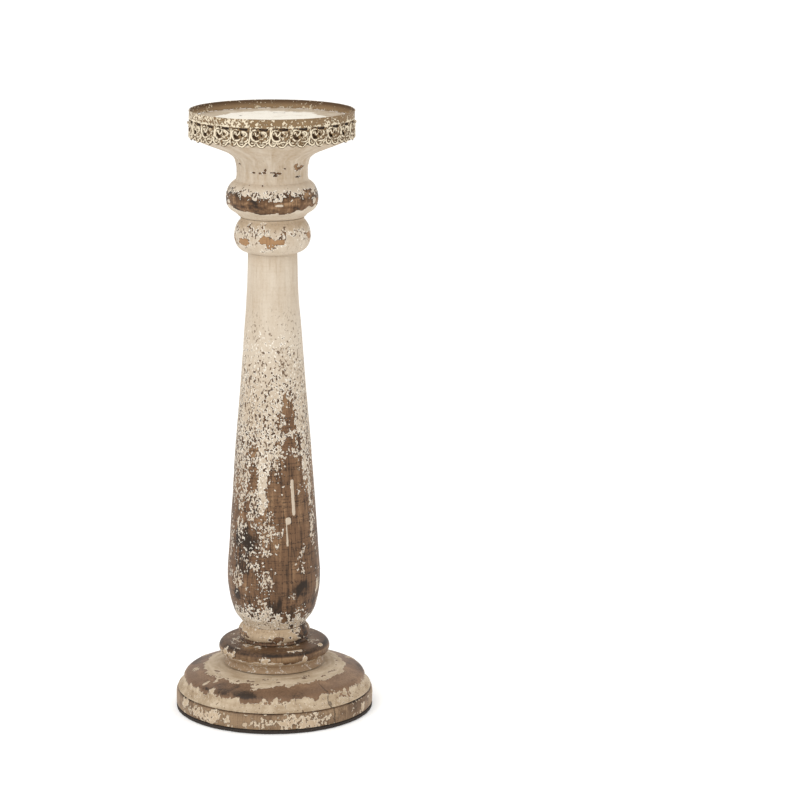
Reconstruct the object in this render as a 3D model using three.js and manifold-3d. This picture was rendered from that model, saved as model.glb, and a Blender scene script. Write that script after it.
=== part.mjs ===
import * as THREE from 'three';
import { mergeVertices } from 'three/addons/utils/BufferGeometryUtils.js';
import Module from 'manifold-3d';

// A turned wooden candlestick with a pierced metal gallery round its candle tray.
// Millimetres, +Z up, origin at the centre of the foot on the surface it stands on.

// Heights of the stacked pieces, from the foot to the rim.
const padThickness = 3;
const lowerBoardThickness = 13;
const upperBoardThickness = 19;
const baseRingHeight = 19;
const footRingHeight = 12.5;
const shaftLength = 288;
const collarHeight = 27;
const capitalHeight = 59.5;
const platformThickness = 14.5;
const rimHeight = 6.5;
const bandHeight = 21.5;

// Outer radii.
const padRadius = 75.8;
const plinthRadius = 76;
const rollRadius = 70;
const baseRingRadius = 42.9;
const footRingRadius = 27.6;
const shaftFootRadius = 23.9;
const shaftTopRadius = 18.6;
const collarRadius = 28.9;
const collarGrooveRadius = 23.9;
const beadRadius = 35.1;
const neckRadius = 26.8;
const flareRadius = 59.3;
const platformRadius = 60.9;
const platformChannelRadius = 59.3;
const bandRadius = 62;
const bandThickness = 0.8;

// Carpentry: round tenons in sockets, and the rod that clamps the stack.
const fitGap = 0.3;
const endGap = 0.5;
const ringTenon = { radius: 22, length: 13.5 };
const shaftFootTenon = { radius: 14, length: 31 };
const shaftTopTenon = { radius: 11, length: 14 };
const capitalTenon = { radius: 11, length: 10 };
const platformTenon = { radius: 20, length: 5.5 };
const rodRadius = 4;
const rodBore = 4.5;
const threadGap = 0.3;
const counterbore = { radius: 14, depth: 9 };
const washer = { radius: 12, thickness: 2 };
const nut = { acrossFlats: 13, height: 6.5 };
const rodEndInset = 1;
const insert = { radius: 6, length: 11, inset: 1 };
const insertBoreDepth = 14.5;

const screw = { headRadius: 4, shankRadius: 2, coneHeight: 2.5, length: 23.5, inset: 0.5 };
const screwCount = 4;
const screwCircle = 48;
const nail = { headRadius: 1.3, headHeight: 0.7, shankRadius: 0.6, length: 6 };
const nailCount = 8;
const nailHeight = 12;
const nailShift = 5;

// The gallery: one motif repeated round the band, and the lap of the strip's two ends.
const motifCount = 26;
const facetsPerMotif = 2;
const plainHeight = 15.2;
const lapAngle = -104;
const lapWidth = 5;

const turnedFacets = 28;
const smallFacets = 12;

// Levels at which the pieces meet.
const plinthLevel = padThickness;
const upperBoardLevel = plinthLevel + lowerBoardThickness;
const baseRingLevel = upperBoardLevel + upperBoardThickness;
const footRingLevel = baseRingLevel + baseRingHeight;
const shaftLevel = footRingLevel + footRingHeight;
const collarLevel = shaftLevel + shaftLength;
const capitalLevel = collarLevel + collarHeight;
const platformLevel = capitalLevel + capitalHeight;
const rimLevel = platformLevel + platformThickness + rimHeight;
const bandLevel = rimLevel - bandHeight;

const finishes = {
  felt: { color: 0x1b1a19, roughness: 0.95, metalness: 0 },
  paintedWood: { color: 0xd9cdb8, roughness: 0.75, metalness: 0 },
  wornWood: { color: 0x8a6f57, roughness: 0.7, metalness: 0 },
  paintedMetal: { color: 0xb7a68d, roughness: 0.6, metalness: 0.3 },
  steel: { color: 0x9a9a98, roughness: 0.4, metalness: 1 },
  brass: { color: 0xb08a4a, roughness: 0.4, metalness: 1 },
};

const wasm = await Module();
wasm.setup();

// Points along an elliptical arc of an outline, each as [radius, height].
function arc(centre, size, fromDegrees, toDegrees, steps) {
  return Array.from({ length: steps + 1 }, (_, index) => {
    const angle = THREE.MathUtils.degToRad(
      THREE.MathUtils.lerp(fromDegrees, toDegrees, index / steps));
    return [centre[0] + size[0] * Math.cos(angle), centre[1] + size[1] * Math.sin(angle)];
  });
}

// Points along a smooth curve through a few of an outline's points.
function sweep(points, steps) {
  const curve = new THREE.SplineCurve(points.map(([r, z]) => new THREE.Vector2(r, z)));
  return curve.getPoints(steps).map((point) => [point.x, point.y]);
}

// Turns an outline about Z. It runs up the outside, and closes on itself or on the axis.
function turned(outline, facets = turnedFacets) {
  const startsOnAxis = outline[0][0] === 0;
  const closed = startsOnAxis ? outline : [...outline, outline[0]];
  const points = closed.map(([r, z]) => new THREE.Vector2(r, z));
  return new THREE.LatheGeometry(points, facets).rotateX(Math.PI / 2);
}

function toSolid(geometry) {
  geometry.deleteAttribute('normal');
  geometry.deleteAttribute('uv');
  const merged = mergeVertices(geometry);
  return new wasm.Manifold(new wasm.Mesh({
    numProp: 3,
    vertProperties: new Float32Array(merged.attributes.position.array),
    triVerts: new Uint32Array(merged.index.array),
  }));
}

function toGeometry(solid) {
  const mesh = solid.getMesh();
  const geometry = new THREE.BufferGeometry();
  geometry.setAttribute('position', new THREE.BufferAttribute(mesh.vertProperties, 3));
  geometry.setIndex(new THREE.BufferAttribute(mesh.triVerts, 1));
  geometry.computeVertexNormals();
  return geometry;
}

function cut(geometry, cutters) {
  let solid = toSolid(geometry);
  for (const cutter of cutters) {
    solid = solid.subtract(toSolid(cutter));
  }
  return toGeometry(solid);
}

function piece(name, geometry, finish, level = 0) {
  const mesh = new THREE.Mesh(geometry, new THREE.MeshStandardMaterial(finish));
  mesh.name = name;
  mesh.position.z = level;
  return mesh;
}

// Places a radial piece: its X runs round the band, its Y up and its Z outwards.
function radialMatrix(degrees, radius, height) {
  const angle = THREE.MathUtils.degToRad(degrees);
  const outward = new THREE.Vector3(Math.cos(angle), Math.sin(angle), 0);
  const around = new THREE.Vector3(-Math.sin(angle), Math.cos(angle), 0);
  const matrix = new THREE.Matrix4().makeBasis(around, new THREE.Vector3(0, 0, 1), outward);
  return matrix.setPosition(outward.x * radius, outward.y * radius, height);
}

// Base

function footPad() {
  const outline = [[0, 0], [padRadius, 0], [padRadius, padThickness], [0, padThickness]];
  return piece('foot_pad', turned(outline), finishes.felt);
}

function screwAngles() {
  return Array.from({ length: screwCount }, (_, index) => 45 + index * 360 / screwCount);
}

function screwPlace(degrees) {
  const angle = THREE.MathUtils.degToRad(degrees);
  return new THREE.Vector3(screwCircle * Math.cos(angle), screwCircle * Math.sin(angle), 0);
}

// A countersunk screw standing on its head. Grown by a gap, it is the hole that the screw fills.
function screwShape(grow) {
  const head = screw.headRadius + grow;
  const shank = screw.shankRadius + grow;
  const tip = screw.length + grow;
  const start = grow > 0 ? -screw.inset - 1 : 0;
  const outline = [[0, start], [head, start], [head, 0.4 + grow], [shank, screw.coneHeight + grow],
    [shank, tip - shank], [0, tip]];
  return turned(outline, smallFacets);
}

function screwHoles(level) {
  return screwAngles().map((degrees) => {
    const place = screwPlace(degrees);
    return screwShape(fitGap).translate(place.x, place.y, level);
  });
}

function plinthLowerBoard() {
  const top = lowerBoardThickness;
  const outline = [
    [counterbore.radius, 0], [plinthRadius - 0.8, 0], [plinthRadius, 0.8], [plinthRadius, top - 3],
    [plinthRadius - 0.4, top - 1], [plinthRadius - 1.2, top], [rodBore, top],
    [rodBore, counterbore.depth], [counterbore.radius, counterbore.depth],
  ];
  const geometry = cut(turned(outline), screwHoles(screw.inset));
  return piece('plinth_lower_board', geometry, finishes.wornWood, plinthLevel);
}

function plinthUpperBoard() {
  const top = upperBoardThickness;
  const rollSize = 5;
  const socketRadius = ringTenon.radius + fitGap;
  const socketFloor = top - ringTenon.length - endGap;
  const cove = [[plinthRadius - 1.4, 0], [73.2, 1.4], [71.5, 3.1], [rollRadius, 6.3]];
  const slope = [[60, 14.1], [53, 16.3], [45, 18.2], [39.5, top]];
  const outline = [
    [rodBore, 0], ...cove,
    ...arc([rollRadius - rollSize, 7.4], [rollSize, rollSize], 5, 68, 4),
    ...slope, [socketRadius, top], [socketRadius, socketFloor], [rodBore, socketFloor],
  ];
  const geometry = cut(turned(outline), screwHoles(screw.inset - lowerBoardThickness));
  return piece('plinth_upper_board', geometry, finishes.paintedWood, upperBoardLevel);
}

function baseRing() {
  const top = baseRingHeight;
  const rollSize = 5.7;
  const socketRadius = shaftFootTenon.radius + fitGap;
  const socketFloor = top - (shaftFootTenon.length - footRingHeight) - endGap;
  const outline = [
    [rodBore, -ringTenon.length], [ringTenon.radius, -ringTenon.length], [ringTenon.radius, 0],
    [38.8, 0],
    ...arc([41.3, 3.7], [4.9, 3.6], 235, 135, 4),
    ...arc([baseRingRadius - rollSize, 12.9], [rollSize, rollSize], -72, 90, 7),
    [30, top], [socketRadius, top], [socketRadius, socketFloor], [rodBore, socketFloor],
  ];
  return piece('base_ring', turned(outline), finishes.wornWood, baseRingLevel);
}

function footRing() {
  const top = footRingHeight;
  const beadSize = 5.6;
  const boreRadius = shaftFootTenon.radius + fitGap;
  const outline = [
    [boreRadius, 0], [26.8, 0],
    ...arc([footRingRadius - beadSize, 6.2], [beadSize, beadSize], -52, 52, 5),
    [shaftFootRadius + 0.4, top], [boreRadius, top],
  ];
  return piece('foot_ring', turned(outline), finishes.paintedWood, footRingLevel);
}

function plinthScrews() {
  return screwAngles().map((degrees, index) => {
    const mesh = piece(`plinth_screw_${index + 1}`, screwShape(0), finishes.steel);
    mesh.position.copy(screwPlace(degrees)).setZ(plinthLevel + screw.inset);
    return mesh;
  });
}

// Column

function shaft() {
  const bulbAndTaper = [
    [24.2, 1], [26.6, 4.5], [29.9, 9], [33.2, 17.5], [35.5, 30], [35.9, 39.5], [35.1, 54],
    [31.1, 111.5], [28.1, 149.5], [24.9, 186.5], [22.2, 223.5], [19.6, 257],
    [shaftTopRadius, shaftLength],
  ];
  const tenonTop = shaftLength + shaftTopTenon.length;
  const outline = [
    [rodBore, -shaftFootTenon.length], [shaftFootTenon.radius, -shaftFootTenon.length],
    [shaftFootTenon.radius, 0], [shaftFootRadius, 0],
    ...sweep(bulbAndTaper, 18),
    [shaftTopTenon.radius, shaftLength], [shaftTopTenon.radius, tenonTop], [rodBore, tenonTop],
  ];
  return piece('shaft', turned(outline), finishes.paintedWood, shaftLevel);
}

function collar() {
  const top = collarHeight;
  const lowerSocket = shaftTopTenon.length + endGap;
  const upperSocket = top - capitalTenon.length - endGap;
  const socketRadius = shaftTopTenon.radius + fitGap;
  const centre = [19, 13];
  const reach = collarRadius - centre[0];
  const outline = [
    [socketRadius, 0], [19, 0],
    ...arc(centre, [reach, 12.1], -80, 0, 5), ...arc(centre, [reach, 14.2], 15, 58, 3),
    [collarGrooveRadius, top], [socketRadius, top], [socketRadius, upperSocket],
    [rodBore, upperSocket], [rodBore, lowerSocket], [socketRadius, lowerSocket],
  ];
  return piece('collar', turned(outline), finishes.paintedWood, collarLevel);
}

function capital() {
  const top = capitalHeight;
  const beadHeight = 14.5;
  const flare = [[27.4, 40.5], [28.3, 43.8], [30, 46.1], [34.5, 49.1], [42.7, 52.6], [51.5, 56],
    [flareRadius, top]];
  const recessRadius = platformTenon.radius + fitGap;
  const recessFloor = top - platformTenon.length - endGap;
  const outline = [
    [rodBore, -capitalTenon.length], [capitalTenon.radius, -capitalTenon.length],
    [capitalTenon.radius, 0], [collarGrooveRadius, 0], [27, 2.9],
    ...arc([26, beadHeight], [beadRadius - 26, 10.7], -68, 0, 4),
    ...arc([23, beadHeight], [beadRadius - 23, 14.5], 15, 68, 4),
    [neckRadius, 31], [neckRadius, 37.5],
    ...sweep(flare, 7),
    [recessRadius, top], [recessRadius, recessFloor], [rodBore, recessFloor],
  ];
  return piece('capital', turned(outline), finishes.paintedWood, capitalLevel);
}

// Candle tray

function nailAngles() {
  const pitch = 360 / motifCount;
  return Array.from({ length: nailCount }, (_, index) => {
    const motif = Math.round(index * motifCount / nailCount);
    return motif * pitch + nailShift;
  });
}

function nailHoles(level) {
  const radius = nail.shankRadius + fitGap;
  const reach = nail.length + 2 * fitGap;
  return nailAngles().map((degrees) => {
    const outline = [[0, -reach], [radius, -reach], [radius, 2], [0, 2]];
    return turned(outline, smallFacets).applyMatrix4(radialMatrix(degrees, bandRadius, level));
  });
}

function candlePlatform() {
  const top = platformThickness;
  const boreRadius = insert.radius + fitGap;
  const boreTop = insertBoreDepth - platformTenon.length;
  const outline = [
    [0, boreTop], [boreRadius, boreTop], [boreRadius, -platformTenon.length],
    [platformTenon.radius, -platformTenon.length], [platformTenon.radius, 0],
    [platformRadius - 0.8, 0], [platformRadius, 0.6], [platformRadius, 2], [platformChannelRadius, 3],
    [platformChannelRadius, 8], [platformRadius, 9], [platformRadius, top], [0, top],
  ];
  const geometry = cut(turned(outline), nailHoles(bandLevel + nailHeight - platformLevel));
  return piece('candle_platform', geometry, finishes.paintedWood, platformLevel);
}

// The openings of one motif, each an outline of [distance round, height] on the band.
function motifOpenings() {
  const slot = [[8.4, 13.9], [13.2, 13.4], [13.2, 14.5], [8.8, 15]];
  const scroll = [[3.3, 8.6], [5.2, 6.7], [7.6, 6.8], [9, 9], [7.8, 10.4], [5.6, 12.4], [3.6, 11.4]];
  const stemGap = [[13.6, 4.8], [14.4, 4.8], [15.4, 11.6], [14.6, 11.6]];
  const lowerCurl = [[2, 3.8], [3.4, 2.9], [4.8, 4.2], [2.2, 6.2]];
  const lowerLeaf = [[8.2, 4.2], [9.4, 2.2], [11.4, 2.4], [12.4, 4.4]];
  const scallopGap = [[5.3, -1], [7.3, -1], [6.3, 2.2]];
  const motifGap = [[-0.9, -1], [1.3, -1], [0.2, 2.6]];
  return [slot, scroll, stemGap, lowerCurl, lowerLeaf, scallopGap, motifGap];
}

function openingCutter(outline, degrees) {
  const depth = 4;
  const shape = new THREE.Shape(outline.map(([u, v]) => new THREE.Vector2(u, v)));
  const geometry = new THREE.ExtrudeGeometry(shape, { depth, bevelEnabled: false });
  return geometry.applyMatrix4(radialMatrix(degrees, bandRadius - depth / 2, 0));
}

// The end of the strip that lies over its beginning.
function bandLap() {
  const halfAngle = lapWidth / bandRadius / 2;
  const shape = new THREE.Shape();
  shape.absarc(0, 0, bandRadius + bandThickness, -halfAngle, halfAngle, false);
  shape.absarc(0, 0, bandRadius - bandThickness / 2, halfAngle, -halfAngle, true);
  const depth = bandHeight - plainHeight;
  const geometry = new THREE.ExtrudeGeometry(shape, { depth, bevelEnabled: false, curveSegments: 2 });
  return geometry.rotateZ(THREE.MathUtils.degToRad(lapAngle)).translate(0, 0, plainHeight);
}

function galleryBand() {
  const inner = bandRadius - bandThickness;
  const outline = [[inner, 0], [bandRadius, 0], [bandRadius, bandHeight], [inner, bandHeight]];
  const strip = turned(outline, motifCount * facetsPerMotif);
  const lapped = toGeometry(toSolid(strip).add(toSolid(bandLap())));
  const cutters = nailHoles(nailHeight);
  for (let motif = 0; motif < motifCount; motif += 1) {
    const degrees = motif * 360 / motifCount;
    cutters.push(...motifOpenings().map((outlineOfOpening) => openingCutter(outlineOfOpening, degrees)));
  }
  return piece('gallery_band', cut(lapped, cutters), finishes.paintedMetal, bandLevel);
}

function galleryNails() {
  const { headRadius, headHeight, shankRadius, length } = nail;
  const outline = [
    [0, -length], [shankRadius, 1 - length], [shankRadius, 0], [headRadius, 0],
    [headRadius * 0.8, headHeight * 0.7], [0, headHeight],
  ];
  return nailAngles().map((degrees, index) => {
    const mesh = piece(`gallery_nail_${index + 1}`, turned(outline, 8), finishes.brass);
    const matrix = radialMatrix(degrees, bandRadius + fitGap, bandLevel + nailHeight);
    mesh.applyMatrix4(matrix);
    return mesh;
  });
}

// Clamping hardware

function tieRod() {
  const low = plinthLevel + rodEndInset;
  const high = platformLevel - platformTenon.length + insert.inset + insert.length - rodEndInset;
  const outline = [
    [0, low], [rodRadius - 0.6, low], [rodRadius, low + 0.6],
    [rodRadius, high - 0.6], [rodRadius - 0.6, high], [0, high],
  ];
  return piece('tie_rod', turned(outline, smallFacets), finishes.steel);
}

function ring(innerRadius, outerRadius, height) {
  return turned([[innerRadius, 0], [outerRadius, 0], [outerRadius, height], [innerRadius, height]],
    2 * smallFacets);
}

function baseWasher() {
  const level = plinthLevel + counterbore.depth - washer.thickness;
  const geometry = ring(rodRadius + threadGap, washer.radius, washer.thickness);
  return piece('base_washer', geometry, finishes.steel, level);
}

function baseNut() {
  const cornerRadius = nut.acrossFlats / Math.sqrt(3);
  const corners = Array.from({ length: 6 }, (_, index) => {
    const angle = index * Math.PI / 3;
    return new THREE.Vector2(cornerRadius * Math.cos(angle), cornerRadius * Math.sin(angle));
  });
  const shape = new THREE.Shape(corners);
  const bore = new THREE.Path();
  bore.absarc(0, 0, rodRadius + threadGap, 0, 2 * Math.PI, true);
  shape.holes.push(bore);
  const settings = { depth: nut.height, bevelEnabled: false, curveSegments: smallFacets };
  const level = plinthLevel + counterbore.depth - washer.thickness - nut.height;
  return piece('base_nut', new THREE.ExtrudeGeometry(shape, settings), finishes.steel, level);
}

function threadedInsert() {
  const level = platformLevel - platformTenon.length + insert.inset;
  const geometry = ring(rodRadius + threadGap, insert.radius, insert.length);
  return piece('threaded_insert', geometry, finishes.brass, level);
}

const candlestick = new THREE.Group();
candlestick.name = 'candlestick';
candlestick.add(footPad(), plinthLowerBoard(), plinthUpperBoard(), ...plinthScrews());
candlestick.add(baseRing(), footRing(), shaft(), collar(), capital());
candlestick.add(candlePlatform(), galleryBand(), ...galleryNails());
candlestick.add(tieRod(), baseWasher(), baseNut(), threadedInsert());

export default candlestick;
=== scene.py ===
import math

import bmesh
import bpy
import numpy as np
from mathutils import Euler, Matrix, Vector


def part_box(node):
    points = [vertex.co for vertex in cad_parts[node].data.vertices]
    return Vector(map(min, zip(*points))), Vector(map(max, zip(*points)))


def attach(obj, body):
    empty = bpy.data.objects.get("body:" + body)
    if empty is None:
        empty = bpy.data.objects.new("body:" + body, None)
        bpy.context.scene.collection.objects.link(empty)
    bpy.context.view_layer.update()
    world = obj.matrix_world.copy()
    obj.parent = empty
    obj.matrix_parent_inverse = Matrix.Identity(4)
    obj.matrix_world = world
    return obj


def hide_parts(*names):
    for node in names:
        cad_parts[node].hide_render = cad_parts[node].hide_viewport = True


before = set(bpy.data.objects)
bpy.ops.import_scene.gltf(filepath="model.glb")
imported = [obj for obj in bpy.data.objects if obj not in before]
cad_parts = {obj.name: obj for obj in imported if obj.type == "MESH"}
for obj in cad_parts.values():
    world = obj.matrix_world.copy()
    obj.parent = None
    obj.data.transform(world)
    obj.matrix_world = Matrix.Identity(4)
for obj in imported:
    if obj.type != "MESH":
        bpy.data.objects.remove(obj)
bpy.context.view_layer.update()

mm = 0.001
print("frame loaded:", len(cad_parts), "nodes")


# Everything below is worked out in millimetres. Angles are in degrees round the candlestick,
# 0 at the front (-Y) and positive towards the right.

lattice = np.random.default_rng(11).random((48, 48, 48))


def mottle(points, size, seed=0, octaves=3):
    # soft random blobs about size mm across, 0 to 1 and mostly near 0.5
    total, share, weight = 0.0, 1.0, 0.0
    for octave in range(octaves):
        spot = points / np.array(size, float) * 2 ** octave + seed * 7.31 + octave * 3.77
        cell = np.floor(spot).astype(int)
        part = spot - cell
        part = part ** 3 * (part * (part * 6 - 15) + 10)
        low, high = cell % 48, (cell + 1) % 48
        x, y, z = part[..., 0], part[..., 1], part[..., 2]
        value = 0.0
        for xs, xw in ((low, 1 - x), (high, x)):
            for ys, yw in ((low, 1 - y), (high, y)):
                for zs, zw in ((low, 1 - z), (high, z)):
                    value = value + lattice[xs[..., 0], ys[..., 1], zs[..., 2]] * xw * yw * zw
        total = total + value * share
        weight += share
        share *= 0.5
    return np.clip(0.5 + (total / weight - 0.5) * 1.5, 0, 1)


def rise(value, start, end):
    # 0 below start, 1 above end, smooth between
    part = np.clip((value - start) / (end - start), 0, 1)
    return part * part * (3 - 2 * part)


def alongCurve(points, steps=10):
    # a smooth run through the points, each [radius, height]
    p = [np.array(q, float) for q in points]
    run = []
    for i in range(len(p) - 1):
        a, b, c, d = p[max(i - 1, 0)], p[i], p[i + 1], p[min(i + 2, len(p) - 1)]
        for t in np.arange(steps) / steps:
            run.append(0.5 * (2 * b + (c - a) * t + (2 * a - 5 * b + 4 * c - d) * t ** 2
                              + (3 * b - a - 3 * c + d) * t ** 3))
    return run + [p[-1]]


def alongArc(centre, size, start, end, steps=24):
    angles = np.radians(np.linspace(start, end, steps + 1))
    return [np.array([centre[0] + size[0] * math.cos(a), centre[1] + size[1] * math.sin(a)])
            for a in angles]


def evenly(points, spacing):
    # the same run with points a fixed distance apart
    p = np.array(points, float)
    steps = np.hypot(*np.diff(p, axis=0).T)
    p = p[np.concatenate([[True], steps > 1e-6])]
    length = np.concatenate([[0], np.cumsum(np.hypot(*np.diff(p, axis=0).T))])
    count = max(2, round(length[-1] / spacing))
    at = np.linspace(0, length[-1], count + 1)
    return np.stack([np.interp(at, length, p[:, 0]), np.interp(at, length, p[:, 1])], axis=1)


def around(turn, radius, height):
    # [x, y, z] of points at an angle in radians, a radius and a height
    turn, radius, height = np.broadcast_arrays(turn, radius, height)
    return np.stack([radius * np.sin(turn), -radius * np.cos(turn), height], axis=-1)


class Place:
    # where each point of a turned surface is, for the wear functions
    def __init__(self, angle, radius, height):
        self.angle, self.radius, self.height = np.broadcast_arrays(angle, radius, height)
        self.points = around(np.radians(self.angle), self.radius, self.height)
        self.rag = self.blobs(5, 91, 4)

    def blobs(self, size, seed, octaves):
        return mottle(self.points, size, seed, octaves) - 0.5

    def across(self, angle):
        return np.radians((self.angle - angle + 180) % 360 - 180) * self.radius

    def patch(self, angle, height, wide, tall, ragged=0.9):
        # a ragged oval, 1 well inside and 0 well outside, sizes in mm from its middle
        far = np.hypot(self.across(angle) / wide, (self.height - height) / tall)
        return np.clip(1.5 - far + self.rag * ragged * 2, 0, 1)

    def patches(self, rows, *ragged):
        total = np.zeros(self.angle.shape)
        for row in rows:
            total = np.maximum(total, self.patch(*row, *ragged))
        return total

    def ramp(self, heights, values):
        return np.interp(self.height, heights, values)


def addPiece(mesh, sharpAngle):
    mesh.polygons.foreach_set("use_smooth", np.ones(len(mesh.polygons), bool))
    mesh.set_sharp_from_angle(angle=math.radians(sharpAngle))
    piece = bpy.data.objects.new(mesh.name, mesh)
    bpy.context.scene.collection.objects.link(piece)
    return piece


def writeAttribute(mesh, key, values):
    layer = mesh.attributes.new(key, "FLOAT", "POINT")
    layer.data.foreach_set("value", values.astype(np.float32))


def writeMap(mesh, uv):
    layer = mesh.uv_layers.new(name="OFBake")
    layer.uv.foreach_set("vector", uv.astype(np.float32).ravel())


def mapTurning(rest, shown, rowOf, columnOf, columns, touchesAxis):
    # the map runs round the piece and along its outline, the visible run taking most of it
    outline = np.concatenate([rest, shown, rest[:1] if len(rest) else shown[:1]])
    reach = np.linalg.norm(np.diff(outline, axis=0), axis=1)
    reach[:len(rest)] *= 0.1
    reach[-1] *= 0.1
    along = np.concatenate([[0], np.cumsum(reach)])
    along = along / along[-1] * 0.96 + 0.02
    u = np.stack([columnOf, columnOf + 1, columnOf + 1, columnOf], axis=-1)
    v = np.stack([along[rowOf], along[rowOf], along[rowOf + 1], along[rowOf + 1]], axis=-1)
    uv = np.stack([u / columns * 0.98 + 0.01, v], axis=-1).reshape(-1, 2)
    if touchesAxis:
        fans = []
        for flip, low in ((True, 0.005), (False, 0.985)):
            for c in range(columns):
                a, b = c / columns, (c + 1) / columns
                start, end = (b, a) if flip else (a, b)
                fans += [[start, low], [end, low], [(a + b) / 2, low + 0.01]]
        uv = np.concatenate([uv, fans])
    return uv


def turnPiece(name, seat, visible, hidden, columns, wearOf, spacing, touchesAxis=False):
    # a closed turned solid: a plain hidden run, then a fine visible run with wear cut into it,
    # both going anticlockwise round the half section; a solid at the axis is closed by fans
    shown = evenly(visible, spacing)
    tangent = np.gradient(shown, axis=0)
    normal = np.stack([tangent[:, 1], -tangent[:, 0]], axis=1)
    normal /= np.maximum(np.linalg.norm(normal, axis=1, keepdims=True), 1e-9)
    angles = np.arange(columns) * 360 / columns
    wear = wearOf(Place(angles, shown[:, :1], shown[:, 1:] + seat))
    depth = wear.pop("depth")
    depth[0] = depth[-1] = np.minimum(depth[0], 0)
    rest = np.array(hidden, float).reshape(-1, 2)
    section = np.concatenate([np.repeat(rest[:, :, None], columns, axis=2),
                              shown[:, :, None] + normal[:, :, None] * depth[:, None, :]])
    grid = around(np.radians(angles), section[:, 0], section[:, 1] + seat) * mm
    rows = len(grid)
    vertices = grid.reshape(-1, 3)
    r0, c0 = np.meshgrid(np.arange(rows - 1 if touchesAxis else rows), np.arange(columns),
                         indexing="ij")
    r1, c1 = (r0 + 1) % rows, (c0 + 1) % columns
    faces = np.stack([r0 * columns + c0, r0 * columns + c1, r1 * columns + c1, r1 * columns + c0],
                     axis=-1).reshape(-1, 4).tolist()
    if touchesAxis:
        for end, row, flip in ((0, 0, True), (1, rows - 1, False)):
            ring = [row * columns + c for c in range(columns)]
            for a, b in zip(ring, ring[1:] + ring[:1]):
                faces.append([b, a, len(vertices) + end] if flip else [a, b, len(vertices) + end])
        vertices = np.concatenate([vertices, [[0, 0, grid[0, 0, 2]], [0, 0, grid[-1, 0, 2]]]])
    mesh = bpy.data.meshes.new(name)
    mesh.from_pydata(vertices.tolist(), [], faces)
    writeMap(mesh, mapTurning(rest, shown, r0, c0, columns, touchesAxis))
    first = len(rest) * columns
    for key, value in wear.items():
        full = np.full(len(vertices), float(np.median(value)))
        full[first:first + value.size] = value.ravel()
        writeAttribute(mesh, key, full)
    return addPiece(mesh, sharpAngle=48)


def fit(piece, nodes, finish):
    piece.data.materials.append(finish)
    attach(piece, "root")
    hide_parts(*nodes)
    print("made", piece.name, len(piece.data.polygons), "faces")


def level(node, top=False):
    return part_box(node)[1 if top else 0].z / mm


# Materials

def shade(red, green, blue):
    # screen colour 0-255 to the linear values that Blender wants
    return tuple(((c / 255 + 0.055) / 1.055) ** 2.4 if c > 10 else c / 3294.6
                 for c in (red, green, blue)) + (1.0,)


class Signal:
    # one output socket; arithmetic on it adds Math nodes
    def __init__(self, finish, socket):
        self.finish, self.socket = finish, socket

    def math(self, operation, *values):
        return self.finish.node("ShaderNodeMath", {"operation": operation},
                                dict(enumerate(values)))

    def __add__(self, other): return self.math("ADD", self, other)
    def __radd__(self, other): return self.math("ADD", other, self)
    def __sub__(self, other): return self.math("SUBTRACT", self, other)
    def __rsub__(self, other): return self.math("SUBTRACT", other, self)
    def __mul__(self, other): return self.math("MULTIPLY", self, other)
    def __rmul__(self, other): return self.math("MULTIPLY", other, self)
    def __abs__(self): return self.math("ABSOLUTE", self)


class Finish:
    # one procedural material
    def __init__(self, name):
        self.material = bpy.data.materials.new(name)
        self.material.use_nodes = True
        self.tree = self.material.node_tree
        self.tree.nodes.clear()
        self.shader = self.tree.nodes.new("ShaderNodeBsdfPrincipled")
        output = self.tree.nodes.new("ShaderNodeOutputMaterial")
        self.tree.links.new(self.shader.outputs[0], output.inputs["Surface"])

    def node(self, kind, settings=None, sockets=None, output=0):
        made = self.tree.nodes.new(kind)
        for key, value in (settings or {}).items():
            setattr(made, key, value)
        for key, value in (sockets or {}).items():
            self.feed(made.inputs[key], value)
        return Signal(self, made.outputs[output])

    def feed(self, socket, value):
        if isinstance(value, Signal):
            self.tree.links.new(value.socket, socket)
        else:
            socket.default_value = value

    def give(self, **sockets):
        for key, value in sockets.items():
            self.feed(self.shader.inputs[key.replace("_", " ")], value)

    def attribute(self, name):
        return self.node("ShaderNodeAttribute", {"attribute_name": name}, output="Fac")

    def place(self, scale=(1, 1, 1)):
        # object coordinates in millimetres, stretched by scale
        spot = self.node("ShaderNodeTexCoord", output="Object")
        return self.node("ShaderNodeVectorMath", {"operation": "MULTIPLY"},
                         {0: spot, 1: tuple(1000 * s for s in scale)})

    def noise(self, size, stretch=(1, 1, 1), detail=2.0, roughness=0.5):
        # about size mm from blob to blob; stretch over 1 makes them longer that way
        spot = self.place([1 / s for s in stretch])
        return self.node("ShaderNodeTexNoise", {}, {"Vector": spot, "Scale": 1 / size,
                         "Detail": detail, "Roughness": roughness}, output="Fac")

    def rise(self, value, start, end):
        return self.node("ShaderNodeMapRange", {"interpolation_type": "SMOOTHSTEP"},
                         {"Value": value, "From Min": start, "From Max": end})

    def mix(self, factor, first, second):
        return self.node("ShaderNodeMix", {"data_type": "RGBA", "clamp_factor": True},
                         {0: factor, 6: first, 7: second}, output=2)

    def axis(self, number):
        return self.node("ShaderNodeSeparateXYZ", {}, {0: self.place()}, output=number)

    def angle(self):
        # radians round the candlestick from the front
        return self.node("ShaderNodeMath", {"operation": "ARCTAN2"},
                         {0: self.axis(0), 1: 0 - self.axis(1)})

    def bump(self, strength, depth, height):
        normal = self.node("ShaderNodeBump", {}, {"Strength": strength, "Distance": depth,
                           "Height": height})
        self.give(Normal=normal)

    def fixed(self, **sockets):
        for key, value in sockets.items():
            self.shader.inputs[key.replace("_", " ")].default_value = value


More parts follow.
